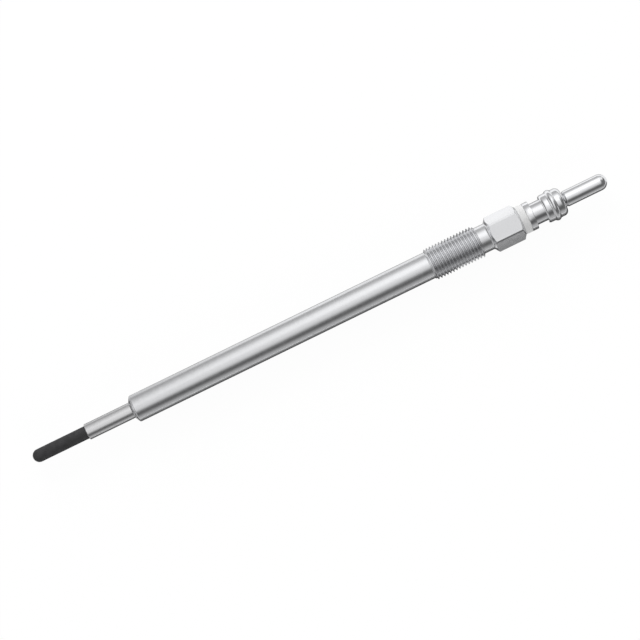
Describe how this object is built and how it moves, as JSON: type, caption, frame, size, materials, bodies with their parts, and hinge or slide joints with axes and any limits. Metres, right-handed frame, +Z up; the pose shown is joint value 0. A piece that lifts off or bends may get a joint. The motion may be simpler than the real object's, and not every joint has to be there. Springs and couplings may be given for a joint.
{
  "type": "diesel glow plug",
  "caption": "Slim steel diesel glow plug with a dark ceramic heater pin in a support sleeve, sealing cone, long shank, fine thread, hexagon, white insulator and a push-on pin terminal",
  "frame": {"origin": "on the axis, at the corner where the plain shank meets the sealing cone", "axes": "X along the plug, +X to the terminal and -X to the heater tip; +Z up from the surface it lies on, with one flat of the hexagon facing down"},
  "size_m": [0.1886, 0.0114, 0.01],
  "materials": {
    "housing": "satin",
    "heater_sleeve": "satin",
    "heater_pin": "matte",
    "heating_loop": "matte",
    "lead_wire": "satin",
    "contact_metal": "satin",
    "rod_steel": "satin",
    "o_ring": "matte",
    "insulator": "matte",
    "terminal": "polished"
  },
  "bodies": {
    "root": {"shank_tube": "housing", "threaded_body": "housing", "heater_sleeve": "heater_sleeve", "heater_pin": "heater_pin", "heating_loop": "heating_loop", "supply_lead": "lead_wire", "ground_lead": "lead_wire", "contact_cap": "contact_metal", "lead_coil": "contact_metal", "centre_rod": "rod_steel", "o_ring": "o_ring", "insulator": "insulator", "terminal": "terminal"}
  },
  "joints": []
}
